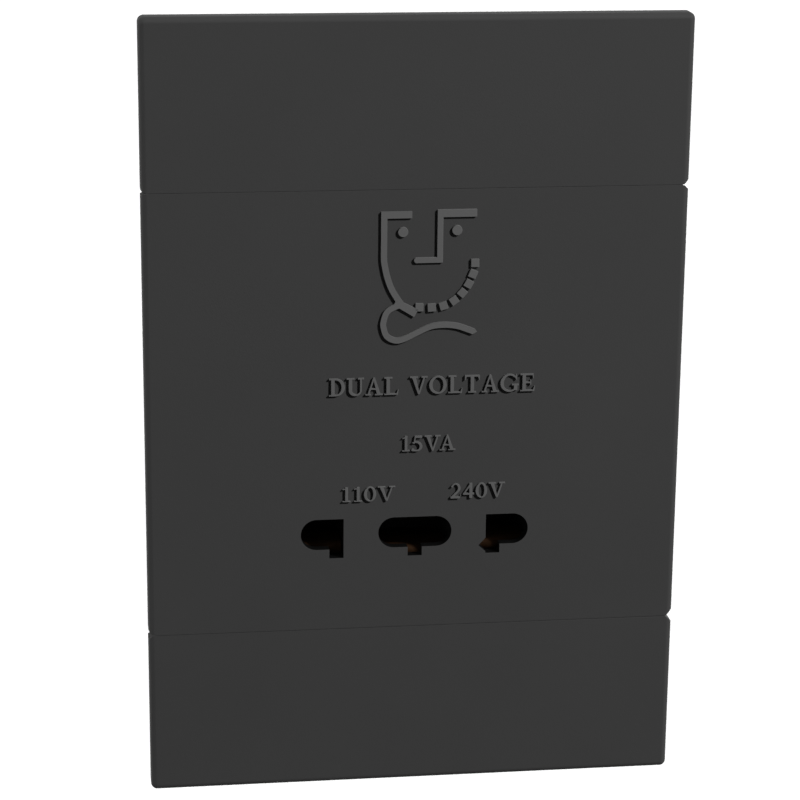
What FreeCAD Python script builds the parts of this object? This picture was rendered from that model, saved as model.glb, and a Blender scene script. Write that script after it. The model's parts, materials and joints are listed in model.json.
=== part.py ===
import FreeCAD, Part
import math
import os

from FreeCAD import Vector

# Shaver socket for a wall box. Millimetres.
# X runs to the right as seen from the room, Y runs into the wall and Z is up.
# The wall is the plane y = 0, and the origin is the middle of the plate's back.

# Plate
plate_width = 86.0
plate_height = 126.2
plate_stand = 9.0            # from the wall to the front face
centre_height = 72.2         # panel between the two clip-on covers
face_wall = 1.8
lip_depth = 3.3              # depth of the edge that shows around the front
edge_radius = 1.0
corner_radius = 1.0
groove_width = 0.4           # V groove between the panel and a cover
groove_depth = 0.12
joint_corner_cut = 1.15      # of the corners at both ends of that groove
rim_inset = 1.8              # the rim on the wall stands back behind the lip
rim_wall = 1.8
tray_floor = 2.0
side_rib_wall = 1.4
side_rib_pitch = 22.0
side_rib_count = 3

# Wall screws, behind the covers
wall_screw_pitch = 84.0
wall_screw_hole_radius = 2.2
wall_screw_seat_radius = 4.6
wall_screw_seat_height = 1.2

# Clip-on covers
cover_gap = 0.1              # between a cover and the panel
cover_clearance = 0.3        # around the rim and the clip legs
clip_offset = 25.0           # of a pair of clip legs from the middle
clip_width = 6.0
clip_wall = 1.2
clip_length = 4.2
barb_depth = 0.7
barb_height = 1.2
barb_ramp = 0.9
window_play = 0.25

# Pin openings
opening_level = -19.95       # height of the row of pin openings
pin_hole_radius = 2.55       # takes round pins up to 5 mm
round_pin_pitch = 19.3       # a centre end to the far end of a side opening
centre_end_offset = 3.4      # of the centre opening's round ends
blade_pitch = 12.7
blade_slot_width = 2.3
blade_slot_depth = 4.05      # below the row's middle
slant_slot_angle = 42.0      # from upright
slant_slot_width = 2.3
slant_slot_foot = 11.25      # from the middle to the slanted slot's lower end
slant_foot_height = 0.58     # of that end above the bottom of the blade slots
slant_slot_length = 5.0
pin_length = 19.0

# Contacts
contact_thickness = 0.5
contact_bend = 0.9
contact_fold = 2.0           # from the base to the spring leaf, middle to middle
contact_play = 0.3           # between a contact and the sides of its well
contact_setback = 3.2        # of the fold behind the plate's face
side_leaf_drop = 0.35        # of the leaf below the bottom of a pin hole
centre_leaf_drop = 1.35
leaf_reach = 8.2             # straight part of the leaf, behind the face
leaf_tip_run = 2.5
leaf_tip_drop = 1.0
tail_width = 3.0
tail_height = 7.0
tail_offset = 1.5            # behind the carrier

# Contact carrier
carrier_wall = 1.5
well_margin = 0.5            # around an opening
well_end_gap = 0.5           # past the tip of a pin
tail_slot_play = 0.1
ear_offset = 24.0            # of a fixing ear's screw from the middle
ear_half_height = 2.5
ear_end = 3.0                # past its screw
ear_wall = 3.0
ear_stand = 4.2              # from the plate's inside to the ear
carrier_boss_radius = 2.6
carrier_screw_radius = 1.25
carrier_screw_head_radius = 2.4
carrier_screw_head_height = 1.8
carrier_screw_bite = 3.8     # in the boss

# Fits of every screw
screw_hole_play = 0.35       # around a shank that passes freely
thread_play = 0.05           # around a thread that bites
blind_play = 0.3             # past the tip of a screw
slot_width = 0.7
slot_depth = 0.9

# Rear housing
housing_width = 70.0
housing_height = 68.0
housing_depth = 37.0         # behind the wall's face
housing_wall = 1.8
housing_floor = 2.0
housing_edge_radius = 2.0
column_inset = 5.5           # of a screw column from the housing's outside
column_radius = 4.2
column_boss_radius = 3.2
column_boss_length = 9.2
housing_screw_radius = 1.45
housing_screw_head_radius = 2.9
housing_screw_head_height = 2.2
housing_screw_bite = 6.0
counterbore_depth = 4.0
counterbore_play = 0.4

# Transformer
core_width = 48.0
core_height = 40.0
core_stack = 20.0
core_leg = 16.0
core_yoke = 8.0
core_level = 11.0            # height of the core's middle
room_before_bobbin = 2.5     # up to the plate's face
room_behind_cutout = 1.4     # up to the housing's floor; spare depth is shared in this proportion
core_screw_inset = 4.0
core_screw_radius = 1.35
core_screw_head_radius = 2.6
core_screw_head_height = 2.0
core_screw_bite = 9.0
post_radius = 3.2
bobbin_wall = 1.0
bobbin_play = 0.2
flange_play = 0.3
coil_inset = 0.7             # of a winding inside the flanges
coil_play = 0.1
coil_corner_radius = 3.0

# Thermal cutout
cutout_width = 12.0
cutout_height = 6.0
cutout_thickness = 3.6

# Terminals
terminal_pitch = 14.0
terminal_width = 8.0
terminal_depth = 11.0
terminal_height = 10.0
terminal_level = -26.0
wire_bore_radius = 2.1
wire_bore_roof = 3.0
wire_bore_offset = 5.5       # in front of the housing's floor
wire_entry_radius = 2.6
terminal_screw_radius = 1.7
terminal_screw_level = -27.5
terminal_screw_stand = 1.4   # behind its block while it is open for a wire
driver_hole_radius = 3.2
partition_wall = 1.2
partition_play = 0.15
partition_rise = 1.0         # past a terminal, upwards and forwards
lead_cup_depth = 2.0

# Leads
lead_radius = 0.6
lead_play = 0.15
largest_lead_bend = 8.0
secondary_lead_pitch = 9.0
coil_lead_offset = 3.5       # beside the cutout
neutral_lead_offset = 11.5

# Levels worked out from the sizes above
front = -plate_stand
face_back = front + face_wall
lip_end = front + lip_depth
half_width = plate_width / 2
half_height = plate_height / 2
half_centre = centre_height / 2
rim_half_width = half_width - rim_inset
rim_half_height = half_height - rim_inset
panel_inside = half_centre - face_wall
opening_bottom = opening_level - pin_hole_radius
opening_top = opening_level + pin_hole_radius
blade_bottom = opening_level - blade_slot_depth
side_end = round_pin_pitch - centre_end_offset
flat_side = blade_pitch - blade_slot_width / 2
well_end = front + pin_length + well_end_gap
carrier_back = well_end + carrier_wall
ear_front = face_back + ear_stand
ear_back = ear_front + ear_wall
boss_end = face_back + column_boss_length
housing_inside = housing_depth - housing_floor
column_x = housing_width / 2 - column_inset
column_z = housing_height / 2 - column_inset
counterbore_floor = housing_depth - counterbore_depth
core_bottom = core_level - core_height / 2
window_height = core_height - 2 * core_yoke
window_width = (core_width - core_leg - 2 * core_yoke) / 2
bobbin_bottom = core_level - window_height / 2 + bobbin_play
bobbin_top = core_level + window_height / 2 - bobbin_play
flange_half_width = core_leg / 2 + window_width - flange_play
flange_half_depth = core_stack / 2 + window_width - flange_play
coil_half_width = flange_half_width - coil_inset
coil_half_depth = flange_half_depth - coil_inset
transformer_depth = flange_half_depth + coil_half_depth + cutout_thickness
spare_depth = housing_inside - face_back - transformer_depth
front_share = room_before_bobbin / (room_before_bobbin + room_behind_cutout)
core_depth = face_back + spare_depth * front_share + flange_half_depth
core_front = core_depth - core_stack / 2
core_back = core_depth + core_stack / 2
coil_back = core_depth + coil_half_depth
lead_level = coil_back + cutout_thickness / 2
terminal_back = housing_inside
terminal_front = terminal_back - terminal_depth
terminal_top = terminal_level + terminal_height / 2
terminal_bottom = terminal_level - terminal_height / 2
wire_bore_depth = terminal_back - wire_bore_offset


def block(x0, x1, y0, y1, z0, z1):
    """A box between two limits on each axis."""
    return Part.makeBox(x1 - x0, y1 - y0, z1 - z0, Vector(x0, y0, z0))


def rod(radius, x, z, y0, y1):
    """A cylinder along Y."""
    return Part.makeCylinder(radius, y1 - y0, Vector(x, y0, z), Vector(0, 1, 0))


def edges_where(shape, test):
    """The edges whose bounding box passes a test."""
    return [edge for edge in shape.Edges if test(edge.BoundBox)]


def along_y(box):
    """Is this edge straight and along Y?"""
    return box.XLength < 1e-6 and box.ZLength < 1e-6


def fused(shapes):
    """One clean solid from several that overlap or meet."""
    return shapes[0].multiFuse(shapes[1:]).removeSplitter()


def prism_across(points, x0, x1):
    """A polygon in the YZ plane, drawn out along X."""
    corners = [Vector(x0, y, z) for y, z in points]
    return Part.Face(Part.makePolygon(corners + corners[:1])).extrude(Vector(x1 - x0, 0, 0))


def corner_arc(before, corner, after, largest):
    """A rounded corner's start, middle and end, with the largest bend that its runs allow."""
    way_in = corner - before
    way_out = after - corner
    shorter = min(way_in.Length, way_out.Length)
    way_in.normalize()
    way_out.normalize()
    half_turn = way_in.getAngle(way_out) / 2
    bend = min(largest, 0.45 * shorter / math.tan(half_turn))
    back = bend * math.tan(half_turn)
    start = corner - way_in * back
    end = corner + way_out * back
    inward = way_out - way_in
    inward.normalize()
    centre = corner + inward * (bend / math.cos(half_turn))
    return start, centre - inward * bend, end


def rounded_path(points, largest):
    """A wire of straight runs joined by tangent arcs."""
    edges = []
    reached = points[0]
    for before, corner, after in zip(points, points[1:], points[2:]):
        start, middle, end = corner_arc(before, corner, after, largest)
        edges.append(Part.LineSegment(reached, start).toShape())
        edges.append(Part.Arc(start, middle, end).toShape())
        reached = end
    edges.append(Part.LineSegment(reached, points[-1]).toShape())
    return Part.Wire(edges)


def lead(points):
    """An insulated lead along a route that the housing and the windings leave open."""
    path = rounded_path(points, largest_lead_bend)
    ring = Part.Wire(Part.makeCircle(lead_radius, points[0], points[1] - points[0]))
    return path.makePipeShell([ring], True, True)


def bent_strip(points, bend, x0, x1):
    """A strip of contact metal bent along a path in the YZ plane, with its width along X."""
    spots = [Vector(x0, y, z) for y, z in points]
    path = rounded_path(spots, bend)
    first = spots[1] - spots[0]
    side = Vector(0, -first.z, first.y).normalize() * (contact_thickness / 2)
    ends = [spots[0] - side, spots[0] + side]
    across = Vector(x1 - x0, 0, 0)
    section = Part.makePolygon([ends[0], ends[1], ends[1] + across, ends[0] + across, ends[0]])
    return path.makePipeShell([section], True, True)


def driver_slot(x, z, radius, top, floor):
    """The slot across the end of a screw."""
    half = slot_width / 2
    return block(x - radius, x + radius, min(top, floor), max(top, floor), z - half, z + half)


def screw(x, z, seat, tip, head_end, radius, head_radius):
    """A slotted screw along Y, with its head from seat to head_end and its tip the other way."""
    shank = rod(radius, x, z, min(seat, tip), max(seat, tip))
    head = rod(head_radius, x, z, min(seat, head_end), max(seat, head_end))
    slot_floor = head_end + (slot_depth if seat > head_end else -slot_depth)
    return fused([shank, head]).cut(driver_slot(x, z, head_radius, head_end, slot_floor))


def mirrored_pairs(x, z):
    """The four corners of a rectangle about the middle."""
    return [(side * x, end * z) for side in (-1, 1) for end in (-1, 1)]


# Pin openings and the wells behind them


def stadium(x0, z0, x1, z1, radius, y0, y1):
    """A slot with round ends about two points, cut along Y."""
    run = Vector(x1 - x0, 0, z1 - z0)
    side = Vector(-run.z, 0, run.x).normalize() * radius
    tip = Vector(run).normalize() * radius
    near = Vector(x0, y0, z0)
    far = Vector(x1, y0, z1)
    outline = [
        Part.LineSegment(near + side, far + side).toShape(),
        Part.Arc(far + side, far + tip, far - side).toShape(),
        Part.LineSegment(far - side, near - side).toShape(),
        Part.Arc(near - side, near - tip, near + side).toShape(),
    ]
    return Part.Face(Part.Wire(outline)).extrude(Vector(0, y1 - y0, 0))


def blade_slot(x, y0, y1):
    """An upright slot for a flat blade, as high as the pin holes and a little deeper."""
    return block(
        x - blade_slot_width / 2, x + blade_slot_width / 2, y0, y1, blade_bottom, opening_top
    )


def side_opening(side, y0, y1):
    """A round pin's hole that runs inwards into a flat blade's slot."""
    hole = rod(pin_hole_radius, side * side_end, opening_level, y0, y1)
    inner = side * (flat_side + blade_slot_width)
    outer = side * side_end
    run = block(min(inner, outer), max(inner, outer), y0, y1, opening_bottom, opening_top)
    return fused([hole, run, blade_slot(side * blade_pitch, y0, y1)])


def centre_opening(y0, y1):
    """A long hole for either inner pin, with a flat blade's slot in its middle."""
    hole = stadium(
        -centre_end_offset, opening_level, centre_end_offset, opening_level, pin_hole_radius, y0, y1
    )
    return fused([hole, blade_slot(0, y0, y1)])


def slant_slot(y0, y1):
    """The slanted flat pin's slot, which shares the right-hand opening."""
    lean = math.radians(slant_slot_angle)
    along = Vector(math.sin(lean), 0, math.cos(lean)) * slant_slot_length
    half = Vector(math.cos(lean), 0, -math.sin(lean)) * (slant_slot_width / 2)
    foot = Vector(slant_slot_foot, y0, blade_bottom + slant_foot_height)
    head = foot + along
    outline = Part.makePolygon([foot - half, foot + half, head + half, head - half, foot - half])
    slot = Part.Face(outline).extrude(Vector(0, y1 - y0, 0))
    reach = slant_slot_length + slant_slot_width
    return slot.common(
        block(slant_slot_foot - reach, slant_slot_foot + reach, y0, y1, blade_bottom, opening_top)
    )


def contact_places():
    """Each contact's name, the limits of its well along X, and its leaf's drop below the pin holes."""
    outer = side_end + pin_hole_radius + well_margin
    centre = centre_end_offset + pin_hole_radius + well_margin
    slant_edge = slant_slot_foot - slant_slot_width / 2 - well_margin
    return [
        ("left", -outer, -flat_side + well_margin, side_leaf_drop),
        ("centre", -centre, centre, centre_leaf_drop),
        ("right", slant_edge, outer, side_leaf_drop),
    ]


def leaf_level(drop):
    """Height of the middle of a leaf's metal."""
    return opening_bottom - drop - contact_thickness / 2


def well_floor(drop):
    """Height of a well's floor, which the contact's base lies on."""
    return leaf_level(drop) - contact_fold - contact_thickness / 2


# Plate and covers


def groove(end):
    """The V groove between the panel and the cover at one end."""
    half = groove_width / 2
    level = end * half_centre
    points = [(front, level - half), (front, level + half), (front + groove_depth, level)]
    return prism_across(points, -half_width, half_width)


def joint_corners(level, inward):
    """What the cut corners leave out at both ends of a joint. The piece lies inwards of its level."""
    cuts = []
    for side in (-1, 1):
        tip = Vector(side * half_width, front, level)
        along = Vector(side * (half_width - joint_corner_cut), front, level)
        down = Vector(side * half_width, front, level + inward * joint_corner_cut)
        corner = Part.Face(Part.makePolygon([tip, along, down, tip]))
        cuts.append(corner.extrude(Vector(0, lip_depth, 0)))
    return cuts


def clip_window(end, wall_face, outward):
    """The pair of windows in a wall of the tray that the barbs of two clip legs hook into."""
    barb_front = face_back + clip_length - barb_ramp - barb_height
    barb_back = face_back + clip_length
    z0 = end * wall_face
    z1 = end * (wall_face + outward * (barb_depth + 2 * window_play))
    return [
        block(
            side * clip_offset - clip_width / 2 - window_play,
            side * clip_offset + clip_width / 2 + window_play,
            barb_front - window_play, barb_back, min(z0, z1), max(z0, z1),
        )
        for side in (-1, 1)
    ]


def front_plate():
    panel = block(-half_width, half_width, front, lip_end, -half_centre, half_centre)
    front_sides = edges_where(
        panel, lambda box: box.YMax < front + 1e-6 and box.XLength < 1e-6
    )
    panel = panel.makeFillet(edge_radius, front_sides)
    panel = panel.cut(joint_corners(half_centre, -1) + joint_corners(-half_centre, 1))
    rim = block(-rim_half_width, rim_half_width, face_back, 0, -rim_half_height, rim_half_height)
    rim = rim.makeFillet(corner_radius, edges_where(rim, along_y))
    rim_inside = rim_half_width - rim_wall
    body = fused([panel, rim])
    cavity = block(-rim_inside, rim_inside, face_back, 0, -panel_inside, panel_inside)
    body = body.cut(cavity)
    for end in (-1, 1):
        near = end * half_centre
        far = end * (rim_half_height - rim_wall)
        body = body.cut(
            block(-rim_inside, rim_inside, face_back, -tray_floor, min(near, far), max(near, far))
        )
    additions = [
        rod(column_boss_radius, x, z, face_back, boss_end) for x, z in mirrored_pairs(column_x, column_z)
    ]
    for side in (-1, 1):
        additions.append(
            rod(carrier_boss_radius, side * ear_offset, opening_level, face_back, ear_front)
        )
        near = side * (housing_width / 2 + cover_clearance)
        far = side * rim_inside
        for i in range(side_rib_count):
            level = (i - (side_rib_count - 1) / 2) * side_rib_pitch
            additions.append(
                block(
                    min(near, far), max(near, far), face_back, -tray_floor,
                    level - side_rib_wall / 2, level + side_rib_wall / 2,
                )
            )
    for end in (-1, 1):
        additions.append(
            rod(
                wall_screw_seat_radius, 0, end * wall_screw_pitch / 2,
                -tray_floor - wall_screw_seat_height, -tray_floor,
            )
        )
    body = fused([body] + additions)
    cuts = [groove(-1), groove(1), centre_opening(front, face_back), slant_slot(front, face_back)]
    cuts += [side_opening(side, front, face_back) for side in (-1, 1)]
    for x, z in mirrored_pairs(column_x, column_z):
        cuts.append(
            rod(
                housing_screw_radius + thread_play, x, z,
                boss_end - housing_screw_bite - blind_play, boss_end,
            )
        )
    for side in (-1, 1):
        cuts.append(
            rod(
                carrier_screw_radius + thread_play, side * ear_offset, opening_level,
                ear_front - carrier_screw_bite - blind_play, ear_front,
            )
        )
    for end in (-1, 1):
        cuts.append(
            rod(
                wall_screw_hole_radius, 0, end * wall_screw_pitch / 2,
                -tray_floor - wall_screw_seat_height, 0,
            )
        )
        cuts += clip_window(end, rim_half_height - rim_wall, 1)
        cuts += clip_window(end, half_centre, -1)
    return body.cut(cuts)


def clip_leg(x, face, outward):
    """A leg on a cover's back. Its barb points outwards, and face is the wall that it springs along."""
    wall_side = face - outward * cover_clearance
    free_side = wall_side - outward * clip_wall
    barb = face + outward * barb_depth
    end = face_back + clip_length - window_play
    points = [
        (face_back, free_side), (end, free_side), (end, wall_side), (end - barb_ramp, barb),
        (end - barb_ramp - barb_height + window_play, barb),
        (end - barb_ramp - barb_height + window_play, wall_side), (face_back, wall_side),
    ]
    return prism_across(points, x - clip_width / 2, x + clip_width / 2)


def top_cover():
    inner_end = half_centre + cover_gap / 2
    skin = block(-half_width, half_width, front, lip_end, inner_end, half_height)
    outer_corners = edges_where(skin, lambda box: along_y(box) and box.ZMin > half_height - 1e-6)
    skin = skin.makeFillet(corner_radius, outer_corners)
    outer_edges = edges_where(
        skin, lambda box: box.YMax < front + 1e-6 and box.ZMax > inner_end + 1e-6
    )
    skin = skin.makeFillet(edge_radius, outer_edges)
    skirt = rim_inset - cover_clearance
    hollow = block(
        -half_width + skirt, half_width - skirt, face_back, lip_end, inner_end, half_height - skirt
    )
    legs = [clip_leg(side * clip_offset, rim_half_height - rim_wall, 1) for side in (-1, 1)]
    legs += [clip_leg(side * clip_offset, half_centre, -1) for side in (-1, 1)]
    skin = skin.cut([hollow, groove(1)] + joint_corners(inner_end, 1))
    return fused([skin] + legs)


def bottom_cover():
    return top_cover().mirror(Vector(0, 0, 0), Vector(0, 0, 1))


# Contacts and their carrier


def contact(x0, x1, drop):
    """A strip folded back on itself, with its base on the well's floor, a spring leaf and a solder tail."""
    leaf = leaf_level(drop)
    base = leaf - contact_fold
    nose = face_back + contact_setback + contact_thickness / 2
    tail = carrier_back + tail_offset
    leaf_end = face_back + leaf_reach
    tip = (leaf_end + leaf_tip_run, leaf - leaf_tip_drop)
    spring = [(well_end, base), (nose, base), (nose, leaf), (leaf_end, leaf), tip]
    middle = (x0 + x1) / 2
    strip = bent_strip(spring, contact_bend, x0 + contact_play, x1 - contact_play)
    stem = bent_strip(
        [(well_end - tail_width, base), (tail, base), (tail, base + tail_height)], contact_bend,
        middle - tail_width / 2, middle + tail_width / 2,
    )
    return fused([strip, stem])


def contact_carrier():
    places = contact_places()
    outer = max(x1 for name, x0, x1, drop in places) + carrier_wall
    lowest = min(well_floor(drop) for name, x0, x1, drop in places) - carrier_wall
    top = opening_top + well_margin + carrier_wall
    body = [block(-outer, outer, face_back, carrier_back, lowest, top)]
    reach = ear_offset + ear_end
    body.append(
        block(
            -reach, reach, ear_front, ear_back,
            opening_level - ear_half_height, opening_level + ear_half_height,
        )
    )
    cuts = []
    for name, x0, x1, drop in places:
        floor = well_floor(drop)
        middle = (x0 + x1) / 2
        half_slot = tail_width / 2 + tail_slot_play
        cuts.append(block(x0, x1, face_back, well_end, floor, opening_top + well_margin))
        cuts.append(
            block(
                middle - half_slot, middle + half_slot, well_end, carrier_back,
                floor, floor + contact_thickness + tail_slot_play,
            )
        )
    for side in (-1, 1):
        hole = carrier_screw_radius + screw_hole_play
        cuts.append(rod(hole, side * ear_offset, opening_level, ear_front, ear_back))
    return fused(body).cut(cuts)


def carrier_screws():
    return Part.makeCompound([
        screw(
            side * ear_offset, opening_level, ear_back, ear_front - carrier_screw_bite,
            ear_back + carrier_screw_head_height, carrier_screw_radius, carrier_screw_head_radius,
        )
        for side in (-1, 1)
    ])


# Rear housing


def terminal_places():
    """The terminals' names and their middles along X."""
    return [("live", -terminal_pitch), ("earth", 0), ("neutral", terminal_pitch)]


def core_screw_places():
    """The middles of the core's four corner holes."""
    x = core_width / 2 - core_screw_inset
    z = core_height / 2 - core_screw_inset
    return [(px, core_level + pz) for px, pz in mirrored_pairs(x, z)]


def rear_housing():
    half_x = housing_width / 2
    half_z = housing_height / 2
    shell = block(-half_x, half_x, face_back, housing_depth, -half_z, half_z)
    shell = shell.makeFillet(
        housing_edge_radius,
        edges_where(shell, lambda box: along_y(box) or box.YMin > housing_depth - 1e-6),
    )
    shell = shell.cut(
        block(
            -half_x + housing_wall, half_x - housing_wall, face_back, housing_inside,
            -half_z + housing_wall, half_z - housing_wall,
        )
    )
    inside = [
        rod(column_radius, x, z, boss_end, housing_inside)
        for x, z in mirrored_pairs(column_x, column_z)
    ]
    inside += [rod(post_radius, x, z, core_back, housing_inside) for x, z in core_screw_places()]
    for name, x in terminal_places():
        for side in (-1, 1):
            near = x + side * (terminal_width / 2 + partition_play)
            far = near + side * partition_wall
            inside.append(
                block(
                    min(near, far), max(near, far), terminal_front - partition_rise, housing_inside,
                    -half_z + housing_wall, terminal_top + partition_rise,
                )
            )
    shell = fused([shell] + inside)
    cuts = []
    for x, z in mirrored_pairs(column_x, column_z):
        cuts.append(rod(housing_screw_radius + screw_hole_play, x, z, boss_end, housing_depth))
        cuts.append(
            rod(housing_screw_head_radius + counterbore_play, x, z, counterbore_floor, housing_depth)
        )
    for x, z in core_screw_places():
        cuts.append(
            rod(
                core_screw_radius + thread_play, x, z, core_back,
                core_back + core_screw_bite + blind_play,
            )
        )
    for name, x in terminal_places():
        cuts.append(rod(driver_hole_radius, x, terminal_screw_level, housing_inside, housing_depth))
        cuts.append(
            Part.makeCylinder(
                wire_entry_radius, housing_wall, Vector(x, wire_bore_depth, -half_z), Vector(0, 0, 1)
            )
        )
    return shell.cut(cuts)


def housing_screws():
    return Part.makeCompound([
        screw(
            x, z, counterbore_floor, boss_end - housing_screw_bite,
            counterbore_floor + housing_screw_head_height, housing_screw_radius, housing_screw_head_radius,
        )
        for x, z in mirrored_pairs(column_x, column_z)
    ])


# Transformer


def lamination_stack():
    """The core's three legs and two yokes, with the four corner holes."""
    core = block(
        -core_width / 2, core_width / 2, core_front, core_back, core_bottom, core_bottom + core_height
    )
    cuts = []
    for side in (-1, 1):
        near = side * core_leg / 2
        far = side * (core_leg / 2 + window_width)
        cuts.append(
            block(
                min(near, far), max(near, far), core_front, core_back,
                core_bottom + core_yoke, core_bottom + core_height - core_yoke,
            )
        )
    for x, z in core_screw_places():
        cuts.append(rod(core_screw_radius + screw_hole_play, x, z, core_front, core_back))
    return core.cut(cuts)


def around_leg(half_x, half_y, z0, z1):
    """A block about the core's middle leg."""
    return block(-half_x, half_x, core_depth - half_y, core_depth + half_y, z0, z1)


def secondary_lead_places():
    """Where the secondary's leads come down through the bobbin's lower flange."""
    tube_front = core_depth - core_stack / 2 - bobbin_play - bobbin_wall
    y = (tube_front + core_depth - coil_half_depth) / 2
    return [(-secondary_lead_pitch, y), (0, y), (secondary_lead_pitch, y)]


def coil_bobbin():
    """A tube on the middle leg with a flange at each end and one between the two windings."""
    hole_x = core_leg / 2 + bobbin_play
    hole_y = core_stack / 2 + bobbin_play
    tube = around_leg(hole_x + bobbin_wall, hole_y + bobbin_wall, bobbin_bottom, bobbin_top)
    flanges = [
        around_leg(flange_half_width, flange_half_depth, z, z + bobbin_wall)
        for z in (bobbin_bottom, core_level - bobbin_wall / 2, bobbin_top - bobbin_wall)
    ]
    bobbin = fused([tube] + flanges)
    cuts = [around_leg(hole_x, hole_y, bobbin_bottom, bobbin_top)]
    for x, y in secondary_lead_places():
        cuts.append(
            Part.makeCylinder(
                lead_radius + lead_play, bobbin_wall, Vector(x, y, bobbin_bottom), Vector(0, 0, 1)
            )
        )
    return bobbin.cut(cuts)


def winding(z0, z1):
    """A coil with round corners between two flanges."""
    outer = around_leg(coil_half_width, coil_half_depth, z0, z1)
    upright = edges_where(outer, lambda box: box.XLength < 1e-6 and box.YLength < 1e-6)
    inner = around_leg(
        core_leg / 2 + bobbin_play + bobbin_wall + coil_play,
        core_stack / 2 + bobbin_play + bobbin_wall + coil_play, z0, z1,
    )
    return outer.makeFillet(coil_corner_radius, upright).cut(inner)


def primary_coil():
    return winding(core_level + bobbin_wall / 2 + coil_play, bobbin_top - bobbin_wall - coil_play)


def secondary_coil():
    return winding(bobbin_bottom + bobbin_wall + coil_play, core_level - bobbin_wall / 2 - coil_play)


def transformer_screws():
    return Part.makeCompound([
        screw(
            x, z, core_front, core_back + core_screw_bite, core_front - core_screw_head_height,
            core_screw_radius, core_screw_head_radius,
        )
        for x, z in core_screw_places()
    ])


def cutout_level():
    """Height of the cutout's middle, half way up the primary winding."""
    return (core_level + bobbin_wall / 2 + bobbin_top - bobbin_wall) / 2


def thermal_cutout():
    level = cutout_level()
    return block(
        -cutout_width / 2, cutout_width / 2, coil_back, coil_back + cutout_thickness,
        level - cutout_height / 2, level + cutout_height / 2,
    )


# Terminals and leads


def terminal(x, with_cup):
    """A brass block with a bore for the supply wire from below and a clamp screw from behind."""
    body = block(
        x - terminal_width / 2, x + terminal_width / 2, terminal_front, terminal_back,
        terminal_bottom, terminal_top,
    )
    up = Vector(0, 0, 1)
    bore_length = terminal_height - wire_bore_roof
    cuts = [
        Part.makeCylinder(wire_bore_radius, bore_length, Vector(x, wire_bore_depth, terminal_bottom), up),
        rod(terminal_screw_radius + thread_play, x, terminal_screw_level, wire_bore_depth, terminal_back),
    ]
    if with_cup:
        foot = Vector(x, lead_level, terminal_top - lead_cup_depth)
        cuts.append(Part.makeCylinder(lead_radius + lead_play, lead_cup_depth, foot, up))
    return body.cut(cuts)


def terminal_screws():
    """Headless clamp screws, backed out clear of the wire bores."""
    made = []
    for name, x in terminal_places():
        end = terminal_back + terminal_screw_stand
        tip = wire_bore_depth + wire_bore_radius
        body = rod(terminal_screw_radius, x, terminal_screw_level, tip, end)
        slot = driver_slot(x, terminal_screw_level, terminal_screw_radius, end, end - slot_depth)
        made.append(body.cut(slot))
    return Part.makeCompound(made)


def primary_lead_live():
    """From the cutout down behind the windings to the live terminal."""
    start = cutout_level() - cutout_height / 2
    x = -cutout_width / 4
    return lead([
        Vector(x, lead_level, start),
        Vector(x, lead_level, core_level - core_yoke),
        Vector(-terminal_pitch, lead_level, core_bottom),
        Vector(-terminal_pitch, lead_level, terminal_top - lead_cup_depth + blind_play),
    ])


def primary_lead_coil():
    """From the cutout's end back into the primary winding."""
    end = cutout_width / 2
    level = cutout_level()
    return lead([
        Vector(end, lead_level, level),
        Vector(end + coil_lead_offset, lead_level, level),
        Vector(end + coil_lead_offset, coil_back, level),
    ])


def primary_lead_neutral():
    """From the primary winding down to the neutral terminal."""
    level = cutout_level()
    return lead([
        Vector(neutral_lead_offset, coil_back, level),
        Vector(neutral_lead_offset, lead_level, level),
        Vector(neutral_lead_offset, lead_level, core_level - core_yoke),
        Vector(terminal_pitch, lead_level, core_bottom),
        Vector(terminal_pitch, lead_level, terminal_top - lead_cup_depth + blind_play),
    ])


def secondary_lead(place, contact_place):
    """From the secondary winding down past the core and back over the carrier to a contact's tail."""
    x, y = place
    name, x0, x1, drop = contact_place
    carrier_top = opening_top + well_margin + carrier_wall
    crossing = (core_bottom + carrier_top) / 2
    tail = carrier_back + tail_offset
    tail_top = leaf_level(drop) - contact_fold + tail_height
    middle = (x0 + x1) / 2
    return lead([
        Vector(x, y, bobbin_bottom + bobbin_wall + coil_play),
        Vector(x, y, crossing),
        Vector(middle, tail, crossing),
        Vector(middle, tail, tail_top),
    ])


def pieces():
    """Every piece by name."""
    made = {
        "front_plate": front_plate(),
        "top_cover": top_cover(),
        "bottom_cover": bottom_cover(),
        "contact_carrier": contact_carrier(),
        "carrier_screws": carrier_screws(),
        "rear_housing": rear_housing(),
        "housing_screws": housing_screws(),
        "lamination_stack": lamination_stack(),
        "coil_bobbin": coil_bobbin(),
        "primary_coil": primary_coil(),
        "secondary_coil": secondary_coil(),
        "transformer_screws": transformer_screws(),
        "thermal_cutout": thermal_cutout(),
        "terminal_screws": terminal_screws(),
        "primary_lead_live": primary_lead_live(),
        "primary_lead_coil": primary_lead_coil(),
        "primary_lead_neutral": primary_lead_neutral(),
    }
    for place, contact_place in zip(secondary_lead_places(), contact_places()):
        name, x0, x1, drop = contact_place
        made["contact_" + name] = contact(x0, x1, drop)
        made["secondary_lead_" + name] = secondary_lead(place, contact_place)
    for name, x in terminal_places():
        made["terminal_" + name] = terminal(x, name != "earth")
    return made


os.makedirs("parts", exist_ok=True)
for name, shape in pieces().items():
    shape.exportStep("parts/" + name + ".step")
    print(name, shape.isValid(), len(shape.Solids), round(shape.Volume, 1))
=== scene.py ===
import json
import math

import bmesh
import bpy
from mathutils import Matrix, Vector
from mathutils.geometry import delaunay_2d_cdt


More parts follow.
